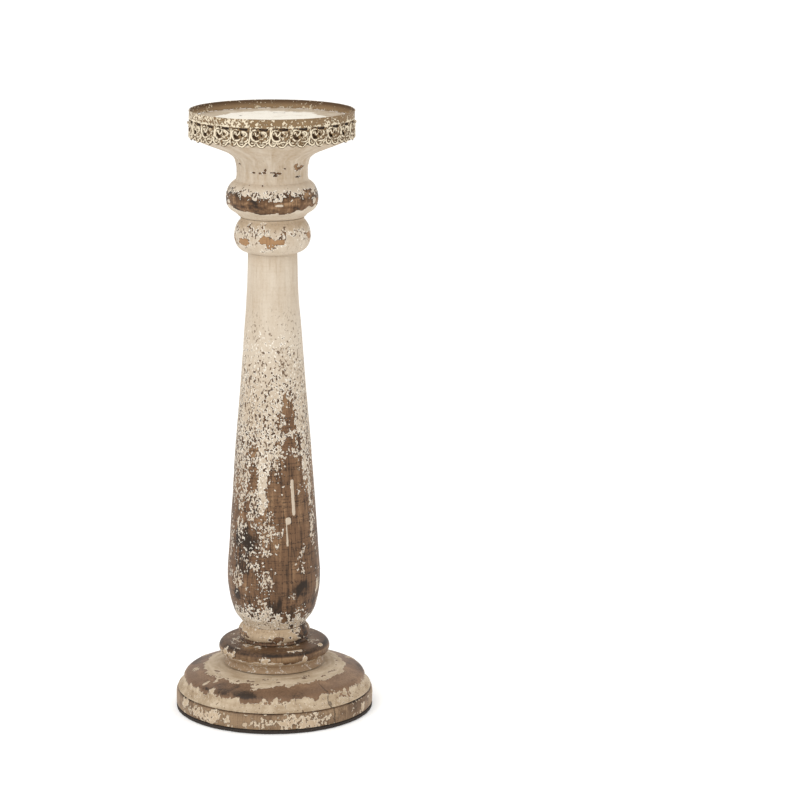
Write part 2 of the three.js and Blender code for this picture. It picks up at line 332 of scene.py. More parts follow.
paintedWood = {
    "cream": shade(204, 191, 173),
    "greige": shade(172, 151, 125),
    "white": shade(240, 233, 219),
    "tan": shade(152, 120, 88),
    "brown": shade(112, 83, 59),
    "charcoal": shade(44, 33, 24),
    "speckSize": 1.8,
    "speckGain": 2.8,
    "pepper": 0.62,
    "pepperColour": shade(80, 54, 32),
    "paintedChipShadow": 0.6,
    "softness": 0.03,
    "grainDark": 0.16,
    "hatchDark": 0.75,
    "pitDark": 0.75,
    "paintDepth": 0.00030,
    "shine": 0.2,
    "woodRoughness": 0.50,
}


def distressed(name, changes, crack=None):
    # cream paint worn through to stained wood, by the wear written into the mesh:
    # coverage (paint above 0.5), speckle, tone (0 tan, 0.5 brown, 1 charcoal), and dirt with painted
    # shade in joints and crevices
    look = {**paintedWood, **changes}
    f = Finish(name)
    coverage, speckle = f.attribute("coverage"), f.attribute("speckle")
    tone, dirtAndShade = f.attribute("tone"), f.attribute("dirtAndShade")
    size, soft = look["speckSize"], look["softness"]
    fine = f.noise(size, (1, 1, 1.35), 1.5, 0.55)
    broad = f.noise(size * 4, (1, 1, 1.8), 2.0)
    edge = coverage + speckle * ((fine - 0.5) * look["speckGain"] + (broad - 0.5) * 0.8)
    paint = f.rise(edge, 0.49 - soft, 0.49 + soft)

    # slow stains, long grain, turned rings that cross it, and dust
    cloud = f.noise(11, (1, 1, 3.0), 4.0, 0.6)
    grain = f.noise(1.5, (1, 1, 20), 3.0, 0.6)
    rings = f.noise(1.5, (24, 24, 1), 3.0, 0.6)
    powder = f.noise(1.3, (1, 1, 1), 2.0, 0.6)

    # the paint: whiter at its edge beside chips, partly a painted highlight on the lifted edge, with
    # dark pinholes where it is speckled
    rim = f.rise(edge, 0.68, 0.52) * f.rise(speckle, 0.12, 0.5)
    dots = f.noise(1.5, (1, 1, 1.5), 1.0, 0.5)
    pepper = f.rise(dots + (broad - 0.5) * 0.35 + speckle * 0.12, look["pepper"] + 0.05,
                    look["pepper"] + 0.11) * f.rise(speckle, 0.26, 0.5)
    # the paint turns greige with dirt and painted shade, stains, grain and dust
    soiledAndShaded = (dirtAndShade + (cloud - 0.5) * 1.1 + (grain - 0.5) * 0.5 + (rings - 0.5) * 0.3
              + (powder - 0.5) * 0.5)
    paintColour = f.mix(soiledAndShaded, look["cream"], look["greige"])
    paintColour = f.mix(rim * 0.8, paintColour, look["white"])
    paintColour = f.mix(pepper * 0.85, paintColour, look["pepperColour"])
    paintColour = f.mix(f.rise(grain, 0.58, 0.72) * look["grainDark"], paintColour,
                        look["brown"])

    # the wood: hatched by grain and rings, darkest in small chips, and with a painted shadow beside
    # lifted paint
    stain = tone + (cloud - 0.5) * 0.5 + (grain - 0.5) * 0.5 + (powder - 0.5) * 0.25
    woodColour = f.mix(f.rise(stain, 0.05, 0.5), look["tan"], look["brown"])
    woodColour = f.mix(f.rise(stain, 0.5, 1.0), woodColour, look["charcoal"])
    lines = (f.rise(rings, 0.48, 0.62) * f.rise(powder, 0.36, 0.62) * 0.75
             + f.rise(grain, 0.50, 0.64) * 0.6)
    woodColour = f.mix(lines * look["hatchDark"], woodColour, look["charcoal"])
    pit = f.rise(coverage, 0.50, 0.66) * look["pitDark"]
    woodColour = f.mix(pit, woodColour, look["pepperColour"])
    paintedChipShadow = f.rise(edge, 0.40 - soft, 0.48 - soft) * f.rise(speckle, 0.15, 0.4)
    woodColour = f.mix(paintedChipShadow * look["paintedChipShadow"], woodColour, look["charcoal"])
    colour = f.mix(paint, woodColour, paintColour)
    height = paint + (grain - 0.5) * 0.25 + (rings - 0.5) * 0.15 + (powder - 0.5) * 0.4

    if crack:
        wander = f.noise(6, (1, 1, 1), 3.0)
        line = abs(f.angle() - math.radians(crack["angle"]) + (wander - 0.5) * crack["wander"])
        split = 1 - f.rise(line, crack["width"] * 0.4, crack["width"])
        split = split * f.rise(f.axis(2), crack["top"], crack["top"] - 3)
        colour = f.mix(split * crack["dark"], colour, look["charcoal"])
        height = height - split * 1.5
    f.bump(1.0, look["paintDepth"], height)
    f.fixed(Specular_IOR_Level=look["shine"])
    f.give(Base_Color=colour, Roughness=look["woodRoughness"] + paint * 0.14)
    return f.material


# Base

padLook = {"radius": 75.6, "colour": shade(38, 31, 27), "light": shade(66, 56, 48),
           "fuzz": 0.0003}


def feltFinish():
    f = Finish("darkFelt")
    fibre = f.noise(0.7, (1, 1, 1), 4.0, 0.7)
    f.fixed(Roughness=0.95)
    f.give(Base_Color=f.mix(f.rise(fibre, 0.35, 0.75), padLook["colour"], padLook["light"]))
    f.bump(0.6, padLook["fuzz"], fibre)
    return f.material


def padWear(place):
    return {"depth": (place.blobs(3, 5, 2) - 0.3) * 0.3}


def wearRow(place, coverage, speckle, tone, dirtAndShade, chip=0.3, wave=0.25):
    # paint stands proud of the worn wood, and the whole surface is slightly uneven
    uneven = (place.blobs(26, 63, 2) - 0.5) * wave
    grown = rise(coverage, 0.40, 0.60)
    depth = uneven - (1 - grown) * chip
    return {"depth": depth, "coverage": np.clip(coverage, 0, 1), "tone": np.clip(tone, 0, 1),
            "speckle": np.clip(speckle + 0 * depth, 0, 1), "dirtAndShade": np.clip(dirtAndShade + 0 * depth, 0, 1)}


lowerBoard = {
    "paint": {"speckSize": 2.0, "hatchDark": 0.25, "pitDark": 0.4, "softness": 0.06,
              "pepper": 0.72, "paintedChipShadow": 0.35, "cream": shade(194, 174, 149),
              "greige": shade(168, 146, 119), "white": shade(222, 208, 186),
              "tan": shade(146, 121, 94), "brown": shade(110, 86, 64)},
    "flakes": [(-61, 12, 4, 5), (-56, 8, 3, 3), (-49, 9, 8, 5), (-39, 8, 8, 3.5), (-34, 9, 2, 4),
               (-25, 9, 2, 3), (-15, 7, 1.5, 1), (-4, 9.5, 6, 3), (-8, 8, 3, 2), (18, 8.5, 17, 4.5),
               (10, 8, 7, 3), (27, 7, 6, 3.5), (-5, 15.2, 3, 0.7), (61, 15, 3, 0.8), (65, 10, 5, 4),
               (54, 5, 3, 1.2), (95, 9, 12, 3), (112, 7, 5, 3), (134, 8, 7, 4), (150, 10, 3, 2),
               (168, 9, 14, 4), (191, 6, 6, 3), (215, 9, 8, 3), (236, 8, 3, 4), (250, 10, 10, 4)],
    "specks": [(18, 9, 17, 6, 0.5), (-45, 8, 20, 6, 0.5), (168, 9, 18, 6, 0.5)],
}


def lowerBoardWear(place):
    flake = place.patches(lowerBoard["flakes"], 0.8)
    coverage = 0.27 + flake * 0.34 + place.blobs((9, 9, 5), 3, 4) * 0.42
    tone = 0.16 + place.blobs((26, 26, 8), 4, 2) * 0.55
    # darker along the top edge where the upper board sits: dirt and painted shade in the joint
    tone = tone + rise(place.height, 14.6, 15.8) * 0.5 + place.patch(58, 13, 16, 3.5) * 0.3
    speckle = 0.34 + place.patches(lowerBoard["specks"]) * 0.25
    return wearRow(place, coverage, speckle, tone, 0.35, chip=0.2)


upperBoard = {
    "paint": {"speckSize": 1.8, "hatchDark": 0.2, "pitDark": 0.3, "softness": 0.10,
              "pepper": 0.70, "paintedChipShadow": 0.3, "cream": shade(196, 178, 153),
              "greige": shade(160, 138, 111), "white": shade(222, 207, 184),
              "brown": shade(120, 93, 71), "tan": shade(146, 117, 90),
              "charcoal": shade(56, 44, 35)},
    "rollChips": [(-41, 27, 2.6, 1.6), (-52, 29, 1.2, 1.0), (-47, 30.5, 2.2, 0.6),
                  (-8, 31.4, 9, 0.7), (-12, 30.2, 3, 0.5), (14, 31.6, 3, 0.6), (118, 28, 5, 1.6),
                  (140, 30, 3, 0.7), (200, 30, 7, 0.8), (238, 28, 3, 1.4), (275, 30, 4, 0.8)],
    "smudge": [(-34, 29, 16, 3.5), (-16, 28, 8, 2), (96, 29, 14, 3), (190, 28, 18, 3),
               (250, 29, 12, 3)],
    "coveBare": [(-2, 23.5, 11, 1.8), (52, 22, 6, 3), (-16, 24, 8, 1.6), (110, 23, 12, 2),
                 (170, 22, 10, 2.4), (228, 24, 12, 2)],
    "topBare": [(-2, 46, 8, 1.4), (-18, 50, 7, 1.0), (28, 46, 9, 1.6), (10, 50, 5, 0.8),
                (20, 56, 6, 1.0), (-40, 52, 8, 1.2), (55, 50, 10, 1.2), (100, 48, 12, 1.4),
                (150, 52, 9, 1.2), (205, 47, 12, 1.5), (250, 52, 10, 1.2), (300, 49, 8, 1.2)],
}


def upperBoardWear(place):
    wave = place.rag * 8
    front = (1 + np.cos(np.radians(place.angle))) / 2
    low = rise(place.height + wave * 0.7, 21.8 + front * 1.2, 25.4 + front * 1.2)
    inner = 1 - rise(54.6 + wave * 0.7 - place.radius, -1.4, 1.4)
    roll = low * np.where(place.height > 28, inner, 1)
    roll = roll * (1 - place.patches(upperBoard["rollChips"], 0.5))
    top = rise(place.height, 29, 31) * rise(64 - place.radius, 0, 3)
    smear = np.zeros(place.angle.shape)
    for angle, radius, wide, deep in upperBoard["topBare"]:
        far = np.hypot(place.across(angle) / wide, (place.radius - radius) / deep)
        smear = np.maximum(smear, np.clip(1.5 - far + place.rag * 3, 0, 1) * top)
    edgeBand = 4 * roll * (1 - roll)
    coverage = 0.84 - roll * 0.72 - smear * 0.32
    coverage = coverage - place.patches(upperBoard["coveBare"]) * 0.44 * (1 - top)
    coverage = coverage + place.blobs((6, 6, 3), 14, 4) * (0.30 - roll * 0.1)
    haze = place.blobs((18, 18, 5), 19, 4)
    smudge = place.patches(upperBoard["smudge"], 0.6)
    tone = 0.30 + place.blobs((30, 30, 6), 15, 3) * 0.4
    tone = tone + smudge * 0.34 * roll + haze * 0.35 + place.patch(-6, 28, 42, 6) * 0.12
    # lighter in the cove and darker over the roll below the top slope: painted light and shade
    tone = tone + (low - 1) * 0.12 + rise(place.height, 30.5, 27) * rise(place.height, 24, 27) * 0.2
    streak = mottle(np.stack([place.radius, place.angle * 0.22, place.height * 0], -1),
                    (2.2, 4, 1), 17, 3)
    dirtAndShade = 0.30 + top * 0.02 + (streak - 0.5) * 0.9 * top + rise(47 - place.radius, -8, 6) * 0.25
    dirtAndShade = dirtAndShade + haze * 0.7 + place.patch(-60, 20, 50, 5) * 0.3
    cove = rise(place.height, 25, 23.5)
    dirtAndShade = dirtAndShade + cove * (0.14 + place.blobs((9, 9, 4), 20, 4) * 1.1)
    speckle = 0.30 + edgeBand * 0.46 + cove * 0.26
    return wearRow(place, coverage, speckle, tone, dirtAndShade, chip=0.22)


ringLook = {
    "paint": {"speckSize": 1.8, "hatchDark": 0.3, "pitDark": 0.3, "paintedChipShadow": 0.3, "softness": 0.06,
              "pepper": 0.74, "cream": shade(186, 164, 136), "greige": shade(150, 125, 98),
              "tan": shade(140, 112, 82), "brown": shade(98, 73, 52)},
    "flakes": [(-60, 48, 3, 4), (-50, 47, 3, 3), (-45, 49, 1.5, 3), (-8, 46.5, 3.2, 3.4),
               (0, 44.5, 8, 1.2), (36, 46, 2, 4), (110, 45, 8, 4), (165, 46, 5, 4),
               (230, 44, 9, 4), (290, 46, 4, 4)],
    "glints": [(23, 53.6, 5, 1.0), (31, 53.4, 4, 1.2), (-44, 54, 4, 0.6), (66, 53, 3, 0.8),
               (150, 53.6, 4, 1.0), (220, 53.4, 6, 0.9)],
}


def baseRingWear(place):
    edge = place.height + place.rag * 5
    neck = 1 - rise(edge, 43.6, 44.8)
    top = rise(place.height + place.rag, 53.6, 54.6) * rise(place.radius, 37.8, 35.8)
    flakes = place.patches(ringLook["flakes"], 0.5)
    glints = place.patches(ringLook["glints"], 0.5)
    glints = glints * rise(place.radius, 37.0, 38.2)
    coverage = 0.14 + neck * 0.60 + top * 0.40 + flakes * 0.55 + glints * 0.62
    coverage = coverage + place.blobs((7, 7, 2.5), 22, 4) * 0.30
    tone = 0.26 + place.blobs((14, 14, 3), 23, 3) * 0.5
    tone = tone + rise(place.height, 49.2, 50.8) * (1 - rise(place.height, 52.8, 54.4)) * 0.52
    tone = tone - top * 0.3
    # the neck darker towards its foot on the plinth: dirt and painted shade in the crevice
    dirtAndShade = 0.2 + neck * (rise(place.height, 43.5, 40.5) * 0.6 + 0.3)
    return wearRow(place, coverage, 0.38 + top * 0.16, tone, dirtAndShade)


footRingLook = {
    "paint": {"speckSize": 1.8, "cream": shade(192, 172, 145), "greige": shade(158, 134, 106)},
    "bare": [(56, 62, 7, 5), (70, 61, 8, 5), (3, 59, 4, 1.6), (12, 60, 3, 1.4), (-52, 61, 2, 1.0),
             (-46, 59.5, 2, 1.0), (-72, 60, 8, 3), (140, 60, 12, 4), (235, 59, 8, 3)],
    "charcoal": [(58, 61, 8, 5), (235, 60, 8, 4)],
}


def footRingWear(place):
    bare = place.patches(footRingLook["bare"])
    # the foot where it sits on the base ring: worn paint, dirt and painted shade in the joint
    jointShadeAndDirt = 1 - rise(place.height + place.rag * 3, 56, 57.4)
    coverage = 0.80 - bare * 0.64 - jointShadeAndDirt * 0.52 + place.blobs(4, 31, 4) * 0.3
    tone = 0.36 + place.blobs(6, 32, 3) * 0.5
    tone = tone + place.patches(footRingLook["charcoal"]) * 0.45 + jointShadeAndDirt * 0.2
    # dirtier with painted shade towards the shaft above and the base ring below
    dirtAndShade = 0.52 + rise(place.height, 62, 66) * 0.1 + jointShadeAndDirt * 0.4
    return wearRow(place, coverage, 0.36, tone, dirtAndShade)


rodBore = 4.5  # the tie rod's hole through every turned piece
baseCrack = {"angle": 38, "width": 0.009, "wander": 0.10, "top": 32, "dark": 0.65}


def makeBase():
    top, radius = level("foot_pad", True), padLook["radius"]
    pad = turnPiece("footPad", 0, [[radius - 1.2, 0.05], [radius, 0.6], [radius, top - 0.3],
                    [radius - 1, top]], [], 240, padWear, 0.6, touchesAxis=True)
    fit(pad, ["foot_pad"], feltFinish())

    run = [[74.6, 0], [75.5, 0.3], [75.9, 1.1], [75.9, 9.4], [75.6, 11.2], [75.0, 12.3],
           [74.0, 12.95]]
    hidden = [[60, 13], [rodBore, 13], [rodBore, 9], [14, 9], [14, 0], [60, 0]]
    board = turnPiece("plinthLowerBoard", level("plinth_lower_board"), run, hidden, 720,
                      lowerBoardWear, 0.6)
    fit(board, ["plinth_lower_board"], distressed("lowerBoardPaint",
        lowerBoard["paint"], {**baseCrack, "angle": 39.5}))

    cove = [[74.4, 0.05], [74.5, 0.5], [73.3, 1.4], [71.7, 3.1], [70.5, 5.2], [70, 7.4]]
    run = (alongCurve(cove) + alongArc([65, 7.4], [5, 5], 5, 68)
           + alongCurve([[66.6, 12.2], [60, 14.1], [53, 16.3], [45, 18.2], [39.5, 19], [34, 19]]))
    hidden = [[22.3, 19], [22.3, 5], [rodBore, 5], [rodBore, 0], [60, 0]]
    board = turnPiece("plinthUpperBoard", level("plinth_upper_board"), run, hidden, 700,
                      upperBoardWear, 0.65)
    fit(board, ["plinth_upper_board"], distressed("upperBoardPaint",
        upperBoard["paint"], baseCrack))

    run = (alongArc([41.3, 3.7], [4.9, 3.6], 235, 135) + alongArc([37.2, 12.9], [5.7, 5.7], -72, 90)
           + [[30, 19], [20, 19]])
    hidden = [[14.3, 19], [14.3, 0], [rodBore, 0], [rodBore, -13.5], [22, -13.5], [22, 0.1]]
    ring = turnPiece("baseRing", level("plinth_upper_board", True), run, hidden, 460,
                     baseRingWear, 0.5)
    fit(ring, ["base_ring"], distressed("baseRingPaint", ringLook["paint"]))

    run = ([[25, 0], [26.8, 0.1]] + alongArc([22, 6.2], [5.6, 5.6], -52, 52)
           + [[24.3, 12.4], [22, 12.5]])
    ring = turnPiece("footRing", level("foot_ring"), run, [[14.3, 12.5], [14.3, 0]], 320,
                     footRingWear, 0.45)
    fit(ring, ["foot_ring"], distressed("footRingPaint", footRingLook["paint"]))


# Column

shaftLook = {
    "paint": {"speckSize": 1.6, "hatchDark": 0.95, "white": shade(246, 240, 227)},
    "bare": [(46, 206, 1.8, 14), (23, 246, 1.6, 6), (28, 228, 5.5, 11), (31, 211, 7, 11),
             (31, 200, 7, 9), (20, 174, 10, 24), (32, 130, 19, 44), (-30, 206, 3.5, 6),
             (-29, 187, 2.5, 15), (-40, 153, 10, 6), (-68, 170, 6, 12), (2, 118, 10, 10),
             (140, 215, 8, 22), (190, 180, 12, 30), (110, 160, 10, 25), (-125, 190, 9, 24),
             (255, 150, 14, 20), (160, 120, 18, 34)],
    "cream": [(-14, 188, 4.2, 24), (-13, 164, 4, 5), (55, 197, 2.2, 17), (46, 224, 2, 6),
              (62, 172, 2, 10), (70, 100, 2.2, 8), (120, 120, 3, 16), (175, 190, 4, 14),
              (235, 128, 5, 14), (-100, 190, 4, 20)],
    "dapple": [(-5, 142, 9, 14), (-54, 108, 10, 12), (-28, 120, 7, 10), (-6, 110, 5, 11),
               (-70, 133, 6, 14), (-8, 88, 6, 10), (26, 96, 2, 4), (-24, 164, 9, 13),
               (-50, 184, 12, 28), (40, 124, 4, 9), (64, 148, 4, 18), (12, 184, 4, 6),
               (4, 200, 7, 7), (34, 205, 6, 4), (110, 104, 8, 12), (165, 132, 8, 14),
               (205, 108, 8, 12), (-110, 120, 9, 16), (-136, 142, 7, 14)],
    "charcoal": [(-25, 163, 6, 7), (-38, 138, 12, 10), (-42, 118, 9, 9), (36, 100, 8, 5),
                 (-50, 95, 6, 5), (46, 206, 1.6, 18), (100, 105, 12, 9), (170, 104, 16, 8),
                 (215, 150, 10, 10), (250, 106, 14, 8)],
    "drips": [(30, 171.5, 0.95, 13.5), (22, 154, 1.6, 2.2), (20, 143, 0.4, 8.5)],
}


def shaftWear(place):
    finger, blotch = place.blobs((6, 6, 60), 41, 2), place.blobs((7, 7, 13), 42, 3)
    middle = place.ramp([66, 80, 100, 250, 300, 354], [0.5, 0.9, 1, 1, 0.35, 0.08])
    ragged = place.height + place.rag * 9 * rise(place.height, 140, 80)
    coverage = np.interp(ragged, [60, 72, 77, 83, 90, 150, 185, 205, 225, 250, 285, 320, 354],
                         [0.76, 0.72, 0.60, 0.38, 0.24, 0.28, 0.42, 0.56, 0.67, 0.74, 0.80,
                          0.92, 0.98])
    coverage = coverage + (finger * 0.22 + blotch * 0.20) * middle
    bare = place.patches(shaftLook["bare"])
    coverage = coverage - bare * 0.46
    cream = place.patches(shaftLook["cream"])
    dapple = place.patches(shaftLook["dapple"], 1.3)
    coverage = np.maximum(coverage, cream * 0.74 - 0.02)
    coverage = np.maximum(coverage, dapple * 0.50)
    dark = place.patches(shaftLook["charcoal"], 0.6)
    drip = np.zeros(place.angle.shape)
    for angle, height, wide, tall in shaftLook["drips"]:
        lean = angle + 0.04 * (height - place.height)
        far = np.hypot(place.across(lean) / wide,
                       np.maximum(abs(place.height - height) - tall + wide, 0) / wide)
        drip = np.maximum(drip, np.clip(1.9 - far, 0, 1))
    coverage = np.maximum(coverage, drip * 0.98)
    speckle = place.ramp([66, 80, 95, 190, 240, 262, 290, 320, 354],
                         [0.5, 0.45, 0.42, 0.60, 0.72, 0.62, 0.46, 0.30, 0.27])
    speckle = speckle * (1 - bare * 0.3)
    speckle = np.maximum(speckle, dapple * 0.95) * (1 - drip) * (1 - cream * 0.35)
    lines = place.blobs((3, 3, 40), 45, 2)
    tone = 0.40 + place.blobs((9, 9, 22), 44, 3) * 0.45 + dark * 0.48
    tone = tone + place.ramp([66, 78, 95, 110, 250], [0.18, 0.26, 0.18, 0.06, -0.10])
    tone = tone + lines * place.ramp([66, 100, 125, 250], [0.5, 0.45, 0.3, 0.2])
    # heaviest at the foot by the foot ring: dirt and painted shade in the joint
    dirtAndShade = place.ramp([66, 80, 200, 240, 290, 340, 354],
                      [0.75, 0.55, 0.45, 0.50, 0.18, 0.25, 0.50])
    return wearRow(place, coverage, speckle, tone, dirtAndShade, wave=0.3)


collarLook = {
    "paint": {"tan": shade(160, 124, 88), "hatchDark": 0.25},
    "bare": [(-9, 366.8, 5.2, 3.2), (2, 366, 5.4, 2.2), (10, 366.6, 3.6, 1.6), (-50, 366, 5, 2.2),
             (75, 369, 3, 2.6), (150, 367, 6, 2.4), (215, 368, 5, 2.0), (280, 367, 3, 2)],
    "flaky": [(-8, 367, 12, 5), (-50, 366, 9, 5), (-24, 373, 14, 4), (62, 370, 9, 5),
              (24, 373, 12, 3), (-70, 371, 8, 4), (90, 372, 14, 4), (150, 367, 13, 5),
              (215, 368, 12, 5), (250, 373, 14, 3), (280, 368, 9, 4)],
}


def collarWear(place):
    chips = place.patches(collarLook["bare"])
    flaky = place.patches(collarLook["flaky"], 1.1)
    coverage = 0.88 - chips * 0.72 - flaky * 0.26 + place.blobs(3.5, 51, 3) * 0.2
    tone = 0.06 + place.blobs(6, 52, 3) * 0.2
    dirtAndShade = place.ramp([354, 357, 364, 372, 376, 381], [0.45, 0.3, 0.3, 0.42, 0.80, 0.85])
    return wearRow(place, coverage, 0.34 + flaky * 0.30, tone, dirtAndShade - flaky * 0.25)


capitalLook = {
    "paint": {"speckSize": 2.0, "hatchDark": 0.5, "brown": shade(104, 76, 52),
              "white": shade(247, 241, 229), "pepper": 0.66, "paintedChipShadow": 0.8,
              "pepperColour": shade(66, 44, 26)},
    "neckChips": [(-28, 417.8, 3.0, 0.8), (-20, 417.5, 3.0, 0.85), (-12, 417.9, 2.2, 0.7),
                  (2, 418.2, 2.8, 0.7), (12, 417.4, 2.8, 0.9), (8, 416, 2.2, 0.9),
                  (-8, 420, 0.9, 1.0), (22, 421, 1.6, 0.9), (43, 422.4, 2.2, 1.3),
                  (52, 420.6, 3.6, 1.9), (46, 419.4, 2.0, 2.0), (62, 421, 2.2, 1.2),
                  (48, 414.2, 2.8, 0.8), (-60, 423, 2, 0.7), (-12, 409, 0.7, 0.5),
                  (-34, 408.6, 0.6, 0.5), (110, 418, 4, 0.7), (150, 420, 3, 1),
                  (190, 417, 4, 0.7), (240, 418, 4, 0.8), (275, 416, 3, 0.7)],
    "islands": [(10, 394.6, 3.0, 0.8), (-66, 395, 3.0, 1.5), (66, 396.4, 2.2, 2.4),
                (120, 397, 4, 1.5), (205, 396, 3, 1.3), (262, 396, 3, 1.6)],
    "bareUp": [(54, 402.5, 5, 2.8), (-54, 400, 5, 2.2), (100, 402, 8, 3), (170, 403, 6, 3.5),
               (230, 402, 8, 3)],
}


def capitalWear(place):
    jag = place.rag
    side = rise(abs((place.angle + 180) % 360 - 180), 10, 62)
    lower = rise(place.height + jag * 3.2, 386.8 + side * 4, 388.2 + side * 4)
    upper = 1 - rise(place.height + jag * 7, 398.0 + side * 2.4, 400.0 + side * 2.4)
    band = np.maximum(lower * upper, place.patches(capitalLook["bareUp"]) * lower)
    band = band * (1 - place.patches(capitalLook["islands"], 0.4) * 1.2)
    band = np.clip(band, 0, 1)
    flake = rise(place.height, 396, 399) * (1 - rise(place.height + jag * 6, 404, 407.5))
    coverage = 0.92 - band * 0.72 - flake * (1 - band) * 0.33
    chips = place.patches(capitalLook["neckChips"], 0.8)
    coverage = coverage - chips * 0.66
    coverage = coverage + place.blobs((3.5, 3.5, 2.5), 61, 3) * 0.16
    smudge = place.patch(-22, 396, 3, 6, 1.0)
    smudge = np.maximum(smudge, place.patch(140, 396, 6, 4))
    tone = 0.52 + place.blobs((7, 7, 3), 62, 3) * 0.95 + smudge * 0.35
    tone = tone - place.patches([(54, 402.5, 6, 3.4), (-56, 398, 6, 3)]) * 0.34
    tone = tone - chips * 0.05 - place.patch(49, 421, 5, 3) * 0.3
    dirtAndShade = place.ramp([381, 385, 390, 400, 407, 414, 430, 434, 441],
                      [0.50, 0.35, 0.25, 0.10, 0.20, 0.52, 0.34, 0.42, 0.55])
    turn = np.radians(place.angle)
    ridge = np.sin(turn * 31 + place.rag * 6) * rise(place.height, 407, 414)
    worn = wearRow(place, coverage, 0.22 + flake * 0.60 + chips * 0.2, tone, dirtAndShade, chip=0.35)
    worn["depth"] = worn["depth"] + (ridge - 1) * 0.16 * mottle(place.points, 14, 64, 2)
    streak = mottle(np.stack([turn * 12, turn * 0, place.height], -1), (1, 1, 26), 65, 2) - 0.5
    worn["dirtAndShade"] = np.clip(worn["dirtAndShade"] + ridge * 0.10
                           + streak * 0.5 * rise(place.height, 408, 414), 0, 1)
    return worn


def makeColumn():
    seat = level("foot_ring", True)
    length = level("collar") - seat
    bulb = [[23.9, 0], [24.2, 1], [26.6, 4.5], [29.9, 9], [33.2, 17.5], [35.5, 30], [35.9, 39.5],
            [35.1, 54], [31.1, 111.5], [28.1, 149.5], [24.9, 186.5], [22.2, 223.5], [19.6, 257],
            [18.6, length]]
    hidden = [[11, length], [11, length + 14], [rodBore, length + 14], [rodBore, -31], [14, -31],
              [14, 0]]
    piece = turnPiece("shaftTurning", seat, alongCurve(bulb), hidden, 276, shaftWear, 0.82)
    fit(piece, ["shaft"], distressed("shaftPaint", shaftLook["paint"]))

    run = ([[18.2, 0.02], [18.7, 0.05], [19.7, 0.4]] + alongArc([19, 13], [9.9, 12.1], -80, 0)
           + alongArc([19, 13], [9.9, 14.2], 4, 58) + [[24.0, 25.9], [23.9, 26.95]])
    hidden = [[11.3, 27], [11.3, 16.5], [rodBore, 16.5], [rodBore, 14.5], [11.3, 14.5], [11.3, 0]]
    piece = turnPiece("collarTurning", level("collar"), run, hidden, 360, collarWear, 0.5)
    fit(piece, ["collar"], distressed("collarPaint", collarLook["paint"]))

    flare = [[26.8, 37.5], [27.4, 40.5], [28.3, 43.8], [30, 46.1], [34.5, 49.1], [42.7, 52.6],
             [51.5, 56], [58.6, 59.2]]
    run = ([[22, 0.05], [23.9, 0.06], [25.3, 1.0], [27, 2.9]]
           + alongArc([26, 14.5], [9.1, 10.7], -68, 0) + alongArc([23, 14.5], [12.1, 14.5], 3, 68)
           + alongCurve([[27.2, 29.2], [26.8, 31], [26.8, 34]]) + alongCurve(flare)
           + [[59.0, 59.5], [56, 59.5]])
    hidden = [[20.3, 59.5], [20.3, 53.5], [rodBore, 53.5], [rodBore, -10], [11, -10], [11, 0.1]]
    piece = turnPiece("capitalTurning", level("collar", True), run, hidden, 520, capitalWear, 0.6)
    fit(piece, ["capital"], distressed("capitalPaint", capitalLook["paint"]))


# Candle tray

trayLook = {
    "paint": {"speckSize": 1.6, "cream": shade(240, 233, 219), "greige": shade(176, 155, 127),
              "white": shade(246, 240, 228)},
    "thickness": 14.5,
    "discRadius": 41,  # the cleaner round where candles stood
    "chips": [(-8, 33, 4, 0.9), (-25, 41, 3, 0.8), (60, 28, 2, 1.2)],
}


def platformWear(place):
    edge = trayLook["discRadius"] + place.rag * 9
    disc = 1 - rise(place.radius, edge - 1.5, edge + 1.5)
    side = 1 - rise(place.height, 455.0, 455.4)
    spots = np.zeros(place.angle.shape)
    for angle, radius, wide, deep in trayLook["chips"]:
        far = np.hypot(place.across(180 + angle) / wide, (place.radius - radius) / deep)
        spots = np.maximum(spots, np.clip(1.6 - far + place.rag, 0, 1))
    # painted shade on the upper edge behind the lace's top slots, with a little less paint
    shadeBehindSlots = rise(place.height, 451.5, 453) * side
    low = 1 - rise(place.height, 443.2, 444.4)
    coverage = 0.88 - side * 0.60 - shadeBehindSlots * 0.2 + low * 0.5 - spots * 0.9 * (1 - side)
    coverage = coverage + place.blobs(5, 71, 3) * 0.2
    tone = 0.42 + spots * 0.6 + place.blobs(6, 72, 3) * 0.3 + shadeBehindSlots * 0.6
    dirtAndShade = 0.78 - disc * 0.95
    return wearRow(place, coverage, 0.12, tone, dirtAndShade, wave=0.1)


def makePlatform():
    thick = trayLook["thickness"]
    run = [[58, 0], [60.1, 0.05], [60.9, 0.6], [60.9, 2], [59.3, 3], [59.3, 8], [60.9, 9],
           [60.9, thick - 0.3], [60.6, thick], [1, thick]]
    hidden = [[1, 9], [6.3, 9], [6.3, -5.5], [20, -5.5], [20, 0]]
    piece = turnPiece("candlePlatform", level("candle_platform", True) - thick, run, hidden, 340,
                      platformWear, 0.8, touchesAxis=True)
    fit(piece, ["candle_platform"], distressed("platformPaint", trayLook["paint"]))


